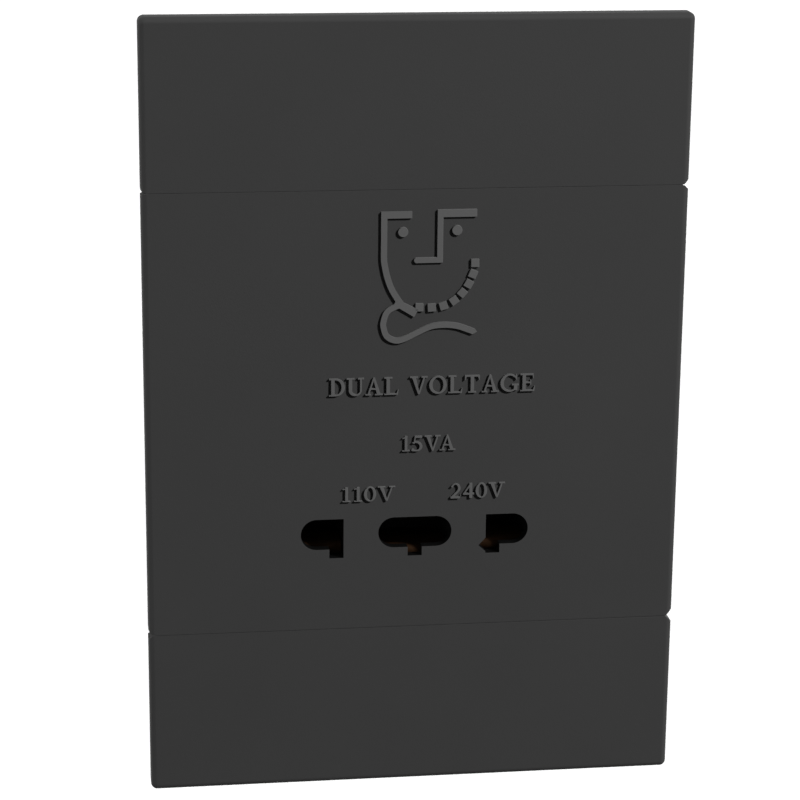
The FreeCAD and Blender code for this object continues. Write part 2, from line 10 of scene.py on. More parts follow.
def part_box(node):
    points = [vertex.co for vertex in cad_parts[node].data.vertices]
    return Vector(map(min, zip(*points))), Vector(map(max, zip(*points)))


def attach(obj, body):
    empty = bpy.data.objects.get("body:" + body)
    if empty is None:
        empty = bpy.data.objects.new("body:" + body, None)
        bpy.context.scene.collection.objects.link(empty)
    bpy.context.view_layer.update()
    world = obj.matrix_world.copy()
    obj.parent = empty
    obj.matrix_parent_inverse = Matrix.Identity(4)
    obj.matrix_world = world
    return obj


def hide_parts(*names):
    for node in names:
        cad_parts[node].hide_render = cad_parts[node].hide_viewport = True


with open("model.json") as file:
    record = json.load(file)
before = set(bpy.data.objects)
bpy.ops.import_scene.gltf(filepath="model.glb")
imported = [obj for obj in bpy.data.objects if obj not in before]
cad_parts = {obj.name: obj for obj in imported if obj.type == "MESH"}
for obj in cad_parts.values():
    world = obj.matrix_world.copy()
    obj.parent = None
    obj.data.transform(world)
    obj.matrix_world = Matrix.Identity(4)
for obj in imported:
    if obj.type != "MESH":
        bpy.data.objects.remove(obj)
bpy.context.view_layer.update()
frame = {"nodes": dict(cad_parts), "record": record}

MM = 0.001
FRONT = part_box("front_plate")[0][1]
PLATE_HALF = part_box("front_plate")[1][0]

# Raised marks: how far they stand out of the plate's face, and how far they reach into it
MARK_HEIGHT = 0.42 * MM
MARK_SINK = 0.06 * MM

# Pin openings: middle of their row, half its width and height, depths behind the face over which a painted
# shade on their walls fades in, and the tone of that painted shade
OPENING_LEVEL = -20.6 * MM
OPENING_REACH = (19.6 * MM, 4.2 * MM)
OPENING_RIM = (0.02 * MM, 0.1 * MM)
OPENING_SHADE_TONE = (0.0018, 0.0018, 0.0018)

# Joints between the plate and its covers: height off the middle, the solids' corner cuts and groove,
# and what the photograph shows in their place
JOINT_LEVEL = 36.1 * MM
JOINT_CUT = 1.15 * MM
GROOVE_REACH = 0.1 * MM
GROOVE_LIMIT = 0.2 * MM
LIP_DEPTH = 3.3 * MM
CLOSE = 0.06 * MM
SHOWN_GROOVE = 0.03 * MM
SHOWN_CUTS = {("left", "upper"): 0.45 * MM, ("left", "lower"): 0.7 * MM,
              ("right", "upper"): 0.85 * MM, ("right", "lower"): JOINT_CUT}

# Edges turned by more than these angles are rounded, on solids and on marks, in degrees
SOLID_EDGE = 38.0
MARK_EDGE = 40.0

# Rounding of a mark's edges, in millimetres
MARK_ROUNDING = 0.05


# Shader groups

def new_group(name, inputs, outputs):
    """An empty shader group with its sockets, and its two end nodes."""
    tree = bpy.data.node_groups.new(name, "ShaderNodeTree")
    for label, kind, value in inputs:
        socket = tree.interface.new_socket(name=label, in_out="INPUT", socket_type=kind)
        socket.default_value = value
    for label, kind in outputs:
        tree.interface.new_socket(name=label, in_out="OUTPUT", socket_type=kind)
    return tree, tree.nodes.new("NodeGroupInput"), tree.nodes.new("NodeGroupOutput")


def node(tree, kind, settings=None, **values):
    """A node with its settings and with values or links on its inputs, given by the socket's name."""
    made = tree.nodes.new(kind)
    for key, value in (settings or {}).items():
        setattr(made, key, value)
    for key, value in values.items():
        socket = made.inputs[key.replace("_", " ")]
        if isinstance(value, bpy.types.NodeSocket):
            tree.links.new(value, socket)
        else:
            socket.default_value = value
    return made


def math_node(tree, operation, first, second=0.0, clamp=False):
    """One sum, with a value or a link on each side."""
    made = tree.nodes.new("ShaderNodeMath")
    made.operation = operation
    made.use_clamp = clamp
    for socket, value in zip(made.inputs, (first, second)):
        if isinstance(value, bpy.types.NodeSocket):
            tree.links.new(value, socket)
        else:
            socket.default_value = value
    return made.outputs[0]


def noise(tree, vector, scale, detail=2.0, rough=0.5):
    """Fractal noise from 0 to 1."""
    made = node(tree, "ShaderNodeTexNoise", Vector=vector, Scale=scale, Detail=detail, Roughness=rough)
    return made.outputs["Fac"]


def spread(tree, value, low, high, to_low=0.0, to_high=1.0):
    """A value stretched from one range to another and held at its ends."""
    made = tree.nodes.new("ShaderNodeMapRange")
    made.clamp = True
    tree.links.new(value, made.inputs["Value"])
    for label, end in (("From Min", low), ("From Max", high), ("To Min", to_low), ("To Max", to_high)):
        if isinstance(end, bpy.types.NodeSocket):
            tree.links.new(end, made.inputs[label])
        else:
            made.inputs[label].default_value = end
    return made.outputs["Result"]


def mixed(tree, factor, first, second):
    """Two colours mixed by a mask."""
    made = tree.nodes.new("ShaderNodeMix")
    made.data_type = "RGBA"
    sockets = [s for s in made.inputs if s.type == "RGBA"]
    tree.links.new(factor, made.inputs[0])
    for socket, value in zip(sockets, (first, second)):
        if isinstance(value, bpy.types.NodeSocket):
            tree.links.new(value, socket)
        else:
            socket.default_value = (*value, 1.0)
    return [s for s in made.outputs if s.type == "RGBA"][0]


def build_edge_rub():
    """Mask of rubbed edges: where a rounded normal leaves the flat one, broken up by noise."""
    tree, start, end = new_group(
        "edge_rub",
        [("Radius", "NodeSocketFloat", 0.0004), ("Patch Scale", "NodeSocketFloat", 900.0)],
        [("Mask", "NodeSocketFloat")])
    place = tree.nodes.new("ShaderNodeTexCoord").outputs["Object"]
    rounded = node(tree, "ShaderNodeBevel", {"samples": 4}, Radius=start.outputs["Radius"])
    flat = tree.nodes.new("ShaderNodeNewGeometry")
    dot = tree.nodes.new("ShaderNodeVectorMath")
    dot.operation = "DOT_PRODUCT"
    tree.links.new(rounded.outputs["Normal"], dot.inputs[0])
    tree.links.new(flat.outputs["Normal"], dot.inputs[1])
    edge = spread(tree, dot.outputs["Value"], 0.995, 0.85)
    patches = spread(tree, noise(tree, place, start.outputs["Patch Scale"], 3.0), 0.42, 0.66)
    tree.links.new(math_node(tree, "MULTIPLY", edge, patches, True), end.inputs["Mask"])
    return tree


def build_moulded_grain():
    """Fine grain of a moulding tool, a slow drift of tone and a drift of gloss."""
    tree, start, end = new_group(
        "moulded_grain",
        [("Grain Scale", "NodeSocketFloat", 4200.0), ("Drift Scale", "NodeSocketFloat", 45.0)],
        [("Tone", "NodeSocketFloat"), ("Gloss", "NodeSocketFloat"), ("Height", "NodeSocketFloat")])
    place = tree.nodes.new("ShaderNodeTexCoord").outputs["Object"]
    cells = node(tree, "ShaderNodeTexVoronoi", Vector=place, Scale=start.outputs["Grain Scale"])
    speck = noise(tree, place, start.outputs["Grain Scale"], 3.0, 0.6)
    height = math_node(tree, "ADD", math_node(tree, "MULTIPLY", cells.outputs["Distance"], 0.6), speck)
    slow = noise(tree, place, start.outputs["Drift Scale"], 3.0, 0.55)
    drift = math_node(tree, "MULTIPLY", slow, 0.75)
    tone = math_node(tree, "ADD", drift, math_node(tree, "MULTIPLY", speck, 0.25))
    tree.links.new(spread(tree, tone, 0.3, 0.7), end.inputs["Tone"])
    gloss = noise(tree, place, math_node(tree, "MULTIPLY", start.outputs["Drift Scale"], 3.1), 4.0, 0.6)
    tree.links.new(spread(tree, gloss, 0.3, 0.7), end.inputs["Gloss"])
    tree.links.new(height, end.inputs["Height"])
    return tree


def build_metal_marks():
    """Draw lines along one direction, tarnish patches and pits of a worked metal."""
    tree, start, end = new_group(
        "metal_marks",
        [("Line Stretch", "NodeSocketVector", (400.0, 9000.0, 9000.0)),
         ("Patch Scale", "NodeSocketFloat", 220.0)],
        [("Lines", "NodeSocketFloat"), ("Tarnish", "NodeSocketFloat"), ("Height", "NodeSocketFloat")])
    place = tree.nodes.new("ShaderNodeTexCoord").outputs["Object"]
    stretch = tree.nodes.new("ShaderNodeVectorMath")
    stretch.operation = "MULTIPLY"
    tree.links.new(place, stretch.inputs[0])
    tree.links.new(start.outputs["Line Stretch"], stretch.inputs[1])
    lines = noise(tree, stretch.outputs[0], 1.0, 3.0, 0.65)
    patches = noise(tree, place, start.outputs["Patch Scale"], 5.0, 0.6)
    pits = noise(tree, place, 3800.0, 2.0)
    tree.links.new(spread(tree, lines, 0.3, 0.7), end.inputs["Lines"])
    tree.links.new(spread(tree, patches, 0.4, 0.68), end.inputs["Tarnish"])
    relief = math_node(tree, "ADD", lines, math_node(tree, "MULTIPLY", pits, 0.4))
    tree.links.new(relief, end.inputs["Height"])
    return tree


edge_rub = build_edge_rub()
moulded_grain = build_moulded_grain()
metal_marks = build_metal_marks()


# Materials

def new_material(name):
    """A node material, its tree and its Principled shader."""
    material = bpy.data.materials.new(name)
    material.use_nodes = True
    tree = material.node_tree
    return material, tree, tree.nodes["Principled BSDF"]


def placed(tree, group, **values):
    """A shader group in a material, with its own values."""
    made = tree.nodes.new("ShaderNodeGroup")
    made.node_tree = group
    for key, value in values.items():
        made.inputs[key.replace("_", " ")].default_value = value
    return made.outputs


def shade(colour, factor):
    """A colour made darker or lighter."""
    return tuple(min(1.0, part * factor) for part in colour)


def bump(tree, shader, height, strength, distance):
    """Fine relief on a shader's normal."""
    made = node(tree, "ShaderNodeBump", Strength=strength, Distance=distance, Height=height)
    tree.links.new(made.outputs["Normal"], shader.inputs["Normal"])


def moulded_plastic(name, colour, rough, specular, grain_scale, relief, rub, vary=0.08, gloss_vary=0.055):
    """A moulded plastic with grain, drift of tone and gloss, and rubbed edges."""
    material, tree, shader = new_material(name)
    grain = placed(tree, moulded_grain, Grain_Scale=grain_scale)
    edges = placed(tree, edge_rub, Radius=0.4 * MM)
    body = mixed(tree, grain["Tone"], shade(colour, 1 - vary), shade(colour, 1 + vary))
    worn = math_node(tree, "MULTIPLY", edges["Mask"], rub)
    tree.links.new(mixed(tree, worn, body, shade(colour, 1.7)), shader.inputs["Base Color"])
    gloss = spread(tree, grain["Gloss"], 0.0, 1.0, rough - gloss_vary, rough + gloss_vary)
    tree.links.new(math_node(tree, "SUBTRACT", gloss, math_node(tree, "MULTIPLY", edges["Mask"], 0.1)),
                   shader.inputs["Roughness"])
    shader.inputs["Specular IOR Level"].default_value = specular
    bump(tree, shader, grain["Height"], 0.25, relief)
    return material


def worked_metal(name, colour, tarnish_and_shade, rough, stretch, patch_scale=220.0, tarnish_and_shade_share=0.6):
    """A bare or plated metal with draw lines, tarnished patches and bright rubbed edges; on the contact
    springs its colours are darkened as painted shade.
    """
    material, tree, shader = new_material(name)
    marks = placed(tree, metal_marks, Line_Stretch=stretch, Patch_Scale=patch_scale)
    edges = placed(tree, edge_rub, Radius=0.2 * MM)
    fresh = mixed(tree, marks["Lines"], shade(colour, 0.88), shade(colour, 1.08))
    # Patches mixed towards the darker colour: tarnished metal, and on the contact springs painted shade
    dull = mixed(tree, math_node(tree, "MULTIPLY", marks["Tarnish"], tarnish_and_shade_share), fresh, tarnish_and_shade)
    worn = math_node(tree, "MULTIPLY", edges["Mask"], 0.5)
    tree.links.new(mixed(tree, worn, dull, shade(colour, 1.25)), shader.inputs["Base Color"])
    gloss = spread(tree, marks["Lines"], 0.0, 1.0, rough - 0.06, rough + 0.08)
    tree.links.new(math_node(tree, "ADD", gloss, math_node(tree, "MULTIPLY", marks["Tarnish"], 0.15)),
                   shader.inputs["Roughness"])
    shader.inputs["Metallic"].default_value = 1.0
    bump(tree, shader, marks["Height"], 0.2, 0.02 * MM)
    return material


def paint_opening_shade(material):
    """Painted shade on the walls of the pin openings, behind the plate's face: their plastic is darkened to
    near black where shade falls.
    """
    tree = material.node_tree
    shader = tree.nodes["Principled BSDF"]
    body = shader.inputs["Base Color"].links[0].from_socket
    place = tree.nodes.new("ShaderNodeSeparateXYZ")
    tree.links.new(tree.nodes.new("ShaderNodeTexCoord").outputs["Object"], place.inputs[0])
    across = math_node(tree, "LESS_THAN", math_node(tree, "ABSOLUTE", place.outputs["X"]), OPENING_REACH[0])
    height = math_node(tree, "ABSOLUTE", math_node(tree, "SUBTRACT", place.outputs["Z"], OPENING_LEVEL))
    upright = math_node(tree, "LESS_THAN", height, OPENING_REACH[1])
    behind = spread(tree, place.outputs["Y"], FRONT + OPENING_RIM[0], FRONT + OPENING_RIM[1])
    walls = math_node(tree, "MULTIPLY", math_node(tree, "MULTIPLY", across, upright), behind)
    # The walls' plastic is mixed towards a near-black painted shade
    tree.links.new(mixed(tree, walls, body, OPENING_SHADE_TONE), shader.inputs["Base Color"])


PLASTICS = {
    "plate_plastic": dict(colour=(0.0375, 0.0375, 0.0375), rough=0.6, specular=0.05, grain_scale=4200.0,
                          relief=0.03 * MM, rub=0.12, vary=0.03, gloss_vary=0.015),
    "mark_plastic": dict(colour=(0.089, 0.089, 0.089), rough=0.6, specular=0.05, grain_scale=4200.0,
                         relief=0.02 * MM, rub=0.08, vary=0.03, gloss_vary=0.015),
    "housing_plastic": dict(colour=(0.02, 0.02, 0.021), rough=0.6, specular=0.3, grain_scale=2600.0,
                            relief=0.06 * MM, rub=0.5),
    "carrier_plastic": dict(colour=(0.012, 0.012, 0.012), rough=0.62, specular=0.15, grain_scale=2600.0,
                            relief=0.04 * MM, rub=0.3),
    "bobbin_plastic": dict(colour=(0.72, 0.68, 0.58), rough=0.42, specular=0.5, grain_scale=1500.0,
                           relief=0.02 * MM, rub=0.1),
    "cutout_case": dict(colour=(0.05, 0.05, 0.05), rough=0.3, specular=0.5, grain_scale=1500.0,
                        relief=0.01 * MM, rub=0.3),
    "lead_brown": dict(colour=(0.14, 0.06, 0.03), rough=0.45, specular=0.4, grain_scale=1200.0,
                       relief=0.01 * MM, rub=0.1),
    "lead_blue": dict(colour=(0.03, 0.08, 0.3), rough=0.45, specular=0.4, grain_scale=1200.0,
                      relief=0.01 * MM, rub=0.1),
    "lead_white": dict(colour=(0.7, 0.7, 0.68), rough=0.45, specular=0.4, grain_scale=1200.0,
                       relief=0.01 * MM, rub=0.1),
}
METALS = {
    # The contact springs' colour and darker patch colour sit far below copper's: painted shade for the
    # shadowed inside of the pin openings, partly tarnish
    "contact_copper": dict(colour=(0.025, 0.013, 0.0068), tarnish_and_shade=(0.012, 0.0062, 0.0034), rough=0.74,
                           stretch=(9000.0, 500.0, 9000.0), tarnish_and_shade_share=0.9),
    "terminal_brass": dict(colour=(0.72, 0.53, 0.22), tarnish_and_shade=(0.36, 0.24, 0.1), rough=0.32,
                           stretch=(9000.0, 9000.0, 700.0)),
    "winding_copper": dict(colour=(0.5, 0.2, 0.08), tarnish_and_shade=(0.3, 0.1, 0.04), rough=0.28,
                           stretch=(300.0, 300.0, 8000.0)),
    "core_steel": dict(colour=(0.3, 0.31, 0.33), tarnish_and_shade=(0.14, 0.1, 0.08), rough=0.45,
                       stretch=(300.0, 9000.0, 300.0)),
    "screw_steel": dict(colour=(0.62, 0.62, 0.6), tarnish_and_shade=(0.42, 0.4, 0.34), rough=0.3,
                        stretch=(2500.0, 2500.0, 2500.0), patch_scale=400.0, tarnish_and_shade_share=0.4),
}
materials = {name: moulded_plastic(name, **look) for name, look in PLASTICS.items()}
materials.update({name: worked_metal(name, **look) for name, look in METALS.items()})
# Painted shade inside the plate's pin openings
paint_opening_shade(materials["plate_plastic"])


# Pieces made from the solids

def finished(name, mesh, slot, material=None, stands_for=()):
    """A new piece of the object, in its place, riding on the one body."""
    piece = bpy.data.objects.new(name, mesh)
    bpy.context.scene.collection.objects.link(piece)
    mesh.materials.clear()
    mesh.materials.append(materials[material or slot])
    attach(piece, "root")
    if stands_for:
        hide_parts(*stands_for)
    return piece


def baked(source):
    """The mesh of an object with its modifiers in it; the object goes."""
    bpy.context.view_layer.update()
    graph = bpy.context.evaluated_depsgraph_get()
    mesh = bpy.data.meshes.new_from_object(source.evaluated_get(graph), depsgraph=graph)
    source.modifiers.clear()
    bpy.data.objects.remove(source)
    return mesh


def smooth(mesh, angle=32.0):
    """Smooth faces with sharp edges above an angle."""
    mesh.shade_smooth()
    mesh.set_sharp_from_angle(angle=math.radians(angle))
    return mesh


def rounded(name, mesh, width, angle, slot, material=None, stands_for=()):
    """A piece with its sharp edges slightly rounded and its flats shaded flat."""
    shape = bpy.data.objects.new(name, smooth(mesh))
    bpy.context.scene.collection.objects.link(shape)
    rounding = shape.modifiers.new("rounding", "BEVEL")
    rounding.width = width * MM
    rounding.segments = 2
    rounding.limit_method = "ANGLE"
    rounding.angle_limit = math.radians(angle)
    rounding.harden_normals = True
    flats = shape.modifiers.new("flats", "WEIGHTED_NORMAL")
    flats.keep_sharp = True
    flats.weight = 90
    done = baked(shape)
    done.name = name
    return finished(name, done, slot, material, stands_for)


def ease_joints(form):
    """A fainter groove at the joints of the plate, and at each end of a joint a cut of its own size."""
    for vert in form.verts:
        x, y, z = vert.co
        off_joint = abs(z) - JOINT_LEVEL
        behind = y - FRONT
        if abs(off_joint) < GROOVE_REACH and CLOSE < behind < GROOVE_LIMIT:
            vert.co.y = FRONT + SHOWN_GROOVE
        inset = PLATE_HALF - abs(x)
        on_cut = abs(inset + abs(off_joint) - JOINT_CUT) < CLOSE
        if on_cut and behind < LIP_DEPTH + CLOSE and abs(off_joint) > CLOSE:
            cut = SHOWN_CUTS["left" if x < 0 else "right", "upper" if z > 0 else "lower"]
            kept = max(CLOSE, abs(off_joint) - JOINT_CUT + cut)
            vert.co.z = math.copysign(JOINT_LEVEL + math.copysign(kept, off_joint), z)


def softened(name, solid, slot, width):
    """A solid with its triangles joined and its sharp edges slightly rounded, as moulded or stamped."""
    form = bmesh.new()
    form.from_mesh(frame["nodes"][solid].data)
    bmesh.ops.remove_doubles(form, verts=form.verts, dist=0.002 * MM)
    if slot == "plate_plastic":
        ease_joints(form)
    bmesh.ops.dissolve_limit(form, angle_limit=math.radians(0.4), verts=form.verts, edges=form.edges)
    mesh = bpy.data.meshes.new(name)
    form.to_mesh(mesh)
    form.free()
    return rounded(name, mesh, width, SOLID_EDGE, slot, stands_for=(solid,))


# Each shown piece, the solid that it stands for, its finish and the rounding of its edges in millimetres
for name, solid, slot, width in (
        ("plate", "front_plate", "plate_plastic", 0.03),
        ("cover_above", "top_cover", "plate_plastic", 0.03),
        ("cover_below", "bottom_cover", "plate_plastic", 0.03),
        ("housing", "rear_housing", "housing_plastic", 0.25),
        ("carrier", "contact_carrier", "carrier_plastic", 0.12),
        ("spring_left", "contact_left", "contact_copper", 0.06),
        ("spring_centre", "contact_centre", "contact_copper", 0.06),
        ("spring_right", "contact_right", "contact_copper", 0.06),
        ("back_screws", "housing_screws", "screw_steel", 0.12),
        ("clamp_screws", "terminal_screws", "screw_steel", 0.1),
        ("clamp_live", "terminal_live", "terminal_brass", 0.15),
        ("clamp_earth", "terminal_earth", "terminal_brass", 0.15),
        ("clamp_neutral", "terminal_neutral", "terminal_brass", 0.15)):
    softened(name, solid, slot, width)


# Raised marks on the plate

# Widths of a sign's thick and thin strokes and of its feet, as shares of its height
STEM = 0.155
HAIR = 0.08
SERIF = 0.065

# Gaps between signs, as shares of their height
SIGN_GAP = 0.09
CLOSE_PAIR_GAP = -0.06

# Width of a space, on the scale of the signs' own widths
SPACE = 0.36


def rect(x0, y0, x1, y1):
    """A rectangle from two corners."""
    return [(x0, y0), (x1, y0), (x1, y1), (x0, y1)]


def arc(centre_x, centre_y, radius_x, radius_y, start, end, steps=20):
    """Points of an elliptic arc, angles in degrees."""
    turns = [math.radians(start + (end - start) * i / steps) for i in range(steps + 1)]
    return [(centre_x + radius_x * math.cos(t), centre_y + radius_y * math.sin(t)) for t in turns]


def band(outer, inner, start, end):
    """A bent band between two arcs, thick or thin where their radii differ."""
    return arc(*outer, start, end) + arc(*inner, end, start)


def ring(centre_x, centre_y, radius_x, radius_y, side, top):
    """A closed bowl in two halves, thicker at its sides than at its top."""
    outer = (centre_x, centre_y, radius_x, radius_y)
    inner = (centre_x, centre_y, radius_x - side, radius_y - top)
    return [band(outer, inner, 90, 270), band(outer, inner, -90, 90)]


# Each sign's width and the outlines that make it, on a height of 1
GLYPHS = {
    "D": (0.72, [rect(0.10, 0, 0.10 + STEM, 1), rect(0, 0, 0.34, SERIF), rect(0, 1 - SERIF, 0.34, 1),
                 rect(0.2, 0, 0.31, HAIR), rect(0.2, 1 - HAIR, 0.31, 1),
                 band((0.30, 0.5, 0.42, 0.5), (0.30, 0.5, 0.42 - STEM, 0.5 - HAIR), -90, 90)]),
    "U": (0.78, [rect(0.10, 0.3, 0.10 + STEM, 1), rect(0.61, 0.3, 0.61 + HAIR, 1),
                 rect(0, 1 - SERIF, 0.36, 1), rect(0.51, 1 - SERIF, 0.79, 1),
                 band((0.395, 0.305, 0.295, 0.32), (0.4325, 0.305, 0.1775, 0.23), 180, 360)]),
    "A": (0.78, [[(0.08, 0), (0.16, 0), (0.42, 1), (0.35, 1)], [(0.35, 1), (0.43, 1), (0.71, 0), (0.53, 0)],
                 rect(0.17, 0.32, 0.60, 0.32 + HAIR), rect(0, 0, 0.26, SERIF), rect(0.43, 0, 0.79, SERIF)]),
    "L": (0.66, [rect(0.10, 0, 0.10 + STEM, 1), rect(0, 1 - SERIF, 0.37, 1), rect(0, 0, 0.3, SERIF),
                 rect(0.2, 0, 0.60, HAIR), [(0.53, 0), (0.62, 0), (0.65, 0.28), (0.615, 0.28)]]),
    "V": (0.80, [[(0.08, 1), (0.26, 1), (0.45, 0), (0.37, 0)], [(0.37, 0), (0.45, 0), (0.70, 1), (0.62, 1)],
                 rect(0, 1 - SERIF, 0.36, 1), rect(0.52, 1 - SERIF, 0.80, 1)]),
    "O": (0.80, ring(0.40, 0.5, 0.40, 0.515, STEM, HAIR)),
    "T": (0.72, [rect(0.285, 0, 0.285 + STEM, 1), rect(0.02, 1 - HAIR, 0.70, 1), rect(0.18, 0, 0.54, SERIF),
                 [(0.02, 1), (0.02, 0.74), (0.055, 0.74), (0.12, 1)],
                 [(0.70, 1), (0.60, 1), (0.665, 0.74), (0.70, 0.74)]]),
    "G": (0.84, [band((0.42, 0.5, 0.42, 0.515), (0.44, 0.5, 0.285, 0.515 - HAIR), 48, 322),
                 rect(0.625, 0.08, 0.625 + STEM, 0.42), rect(0.53, 0.42 - SERIF, 0.85, 0.42),
                 [(0.64, 0.86), (0.715, 0.99), (0.75, 0.99), (0.76, 0.68), (0.725, 0.68), (0.68, 0.80)]]),
    "E": (0.68, [rect(0.10, 0, 0.10 + STEM, 1), rect(0, 0, 0.3, SERIF), rect(0, 1 - SERIF, 0.3, 1),
                 rect(0.2, 1 - HAIR, 0.61, 1), rect(0.2, 0, 0.64, HAIR),
                 rect(0.2, 0.5 - HAIR / 2, 0.47, 0.5 + HAIR / 2), rect(0.455, 0.36, 0.5, 0.64),
                 [(0.54, 1), (0.61, 1), (0.62, 0.74), (0.585, 0.74)],
                 [(0.56, 0), (0.65, 0), (0.68, 0.28), (0.645, 0.28)]]),
    "1": (0.46, [rect(0.2, 0, 0.2 + STEM * 0.84, 1), rect(0.08, 0, 0.45, SERIF),
                 [(0.08, 0.83), (0.08, 0.88), (0.28, 1), (0.28, 0.92), (0.2, 0.87)]]),
    "0": (0.56, ring(0.28, 0.5, 0.28, 0.51, STEM * 0.9, HAIR * 0.85)),
    "5": (0.58, [rect(0.16, 0.88, 0.52, 1), [(0.11, 0.50), (0.17, 0.52), (0.22, 0.97), (0.16, 0.97)],
                 band((0.23, 0.31, 0.32, 0.325), (0.21, 0.30, 0.2, 0.255), -128, 128),
                 arc(0.07, 0.08, 0.075, 0.075, 0, 342, 19)]),
    "2": (0.54, [band((0.26, 0.70, 0.24, 0.31), (0.25, 0.70, 0.125, 0.25), -36, 166),
                 [(0.455, 0.52), (0.35, 0.56), (0.02, 0.09), (0.02, 0), (0.16, 0.06)],
                 rect(0.02, 0, 0.46, 0.125), [(0.40, 0), (0.46, 0), (0.53, 0.25), (0.50, 0.25)]]),
    "4": (0.56, [rect(0.32, 0, 0.32 + STEM * 0.9, 1), rect(0.02, 0.23, 0.55, 0.34),
                 [(0.02, 0.24), (0.02, 0.31), (0.36, 1), (0.44, 1), (0.11, 0.33)]]),
}


def line_of(text, left, right, foot, cap):
    """Outlines of a line of signs between two sides, in millimetres on the plate."""
    widths = [SPACE if sign == " " else GLYPHS[sign][0] for sign in text]
    pairs = [text[i:i + 2] for i in range(len(text) - 1)]
    gaps = [cap * (CLOSE_PAIR_GAP if pair == "VA" else SIGN_GAP) for pair in pairs]
    stretch = (right - left - sum(gaps)) / sum(widths)
    outlines = []
    at = left
    for sign, width, gap in zip(text, widths, gaps + [0.0]):
        if sign != " ":
            for outline in GLYPHS[sign][1]:
                outlines.append([(at + x * stretch, foot + y * cap) for x, y in outline])
        at += width * stretch + gap
    return outlines


def stroke(points, widths):
    """Outline of a stroke of one width, or of a width at each end, along points."""
    first, last = widths if isinstance(widths, tuple) else (widths, widths)
    left, right = [], []
    for i, point in enumerate(points):
        before = Vector(points[max(i - 1, 0)])
        after = Vector(points[min(i + 1, len(points) - 1)])
        along = (after - before).normalized()
        half = (first + (last - first) * i / (len(points) - 1)) / 2
        left.append((point[0] - along.y * half, point[1] + along.x * half))
        right.append((point[0] + along.y * half, point[1] - along.x * half))
    return left + right[::-1]


def eased(points, steps=8):
    """A smooth line through points."""
    ends = [points[0]] + list(points) + [points[-1]]
    line = []
    for a, b, c, d in zip(ends, ends[1:], ends[2:], ends[3:]):
        for i in range(steps):
            t = i / steps
            line.append(tuple(0.5 * (2 * q + (r - p) * t + (2 * p - 5 * q + 4 * r - s) * t * t
                                     + (3 * q - p - 3 * r + s) * t ** 3) for p, q, r, s in zip(a, b, c, d)))
    return line + [tuple(points[-1])]


def turned_left(outline):
    """The outline with its inside on the left."""
    area = sum(a[0] * b[1] - b[0] * a[1] for a, b in zip(outline, outline[1:] + outline[:1]))
    return outline if area > 0 else outline[::-1]


def holds(outline, x, y):
    """Whether a point lies inside an outline."""
    inside = False
    for (ax, ay), (bx, by) in zip(outline, outline[1:] + outline[:1]):
        if (ay > y) != (by > y) and x < (bx - ax) * (y - ay) / (by - ay) + ax:
            inside = not inside
    return inside


def raised(name, outlines):
    """Overlapping outlines joined to one flat form and raised from the plate with a soft edge."""
    points, faces = [], []
    for outline in map(turned_left, outlines):
        faces.append(list(range(len(points), len(points) + len(outline))))
        points.extend(Vector(p) for p in outline)
    corners, _, parts, _, _, _ = delaunay_2d_cdt(points, [], faces, 0, 1e-5)
    form = bmesh.new()
    verts = [form.verts.new((p.x * MM, FRONT + MARK_SINK, p.y * MM)) for p in corners]
    for part in parts:
        middle = sum((corners[i] for i in part), Vector((0.0, 0.0))) / len(part)
        if any(holds(outline, middle.x, middle.y) for outline in outlines):
            form.faces.new([verts[i] for i in part])
    bmesh.ops.delete(form, geom=[v for v in form.verts if not v.link_faces], context="VERTS")
    bmesh.ops.recalc_face_normals(form, faces=form.faces)
    if form.faces[:][0].normal.y > 0:
        bmesh.ops.reverse_faces(form, faces=form.faces)
    bmesh.ops.dissolve_limit(form, angle_limit=math.radians(0.2), verts=form.verts, edges=form.edges)
    lifted = bmesh.ops.extrude_face_region(form, geom=form.faces[:], use_keep_orig=True)
    tops = [g for g in lifted["geom"] if isinstance(g, bmesh.types.BMVert)]
    bmesh.ops.translate(form, verts=tops, vec=(0, -MARK_HEIGHT - MARK_SINK, 0))
    bmesh.ops.recalc_face_normals(form, faces=form.faces)
    mesh = bpy.data.meshes.new(name)
    form.to_mesh(mesh)
    form.free()
    return rounded(name, mesh, MARK_ROUNDING, MARK_EDGE, "plate_plastic", "mark_plastic")


def geometry_tree(name, inputs):
    """An empty geometry tree with its sockets, and its two end nodes."""
    tree = bpy.data.node_groups.new(name, "GeometryNodeTree")
    tree.interface.new_socket(name="Geometry", in_out="INPUT", socket_type="NodeSocketGeometry")
    for label, kind in inputs:
        tree.interface.new_socket(name=label, in_out="INPUT", socket_type=kind)
    tree.interface.new_socket(name="Geometry", in_out="OUTPUT", socket_type="NodeSocketGeometry")
    return tree, tree.nodes.new("NodeGroupInput"), tree.nodes.new("NodeGroupOutput")


def dress(tree, copies, start, end):
    """Copies made real and given their material, at the end of a tree."""
    solid = node(tree, "GeometryNodeRealizeInstances", Geometry=copies.outputs[0])
    dressed = node(tree, "GeometryNodeSetMaterial", Geometry=solid.outputs[0],
                   Material=start.outputs["Material"])
    tree.links.new(dressed.outputs[0], end.inputs[0])


def set_inputs(modifier, **values):
    """Values on a tree's named inputs, by their identifiers."""
    for item in modifier.node_group.interface.items_tree:
        label = item.name.replace(" ", "_")
        if item.in_out == "INPUT" and label in values:
            modifier[item.identifier] = values[label]


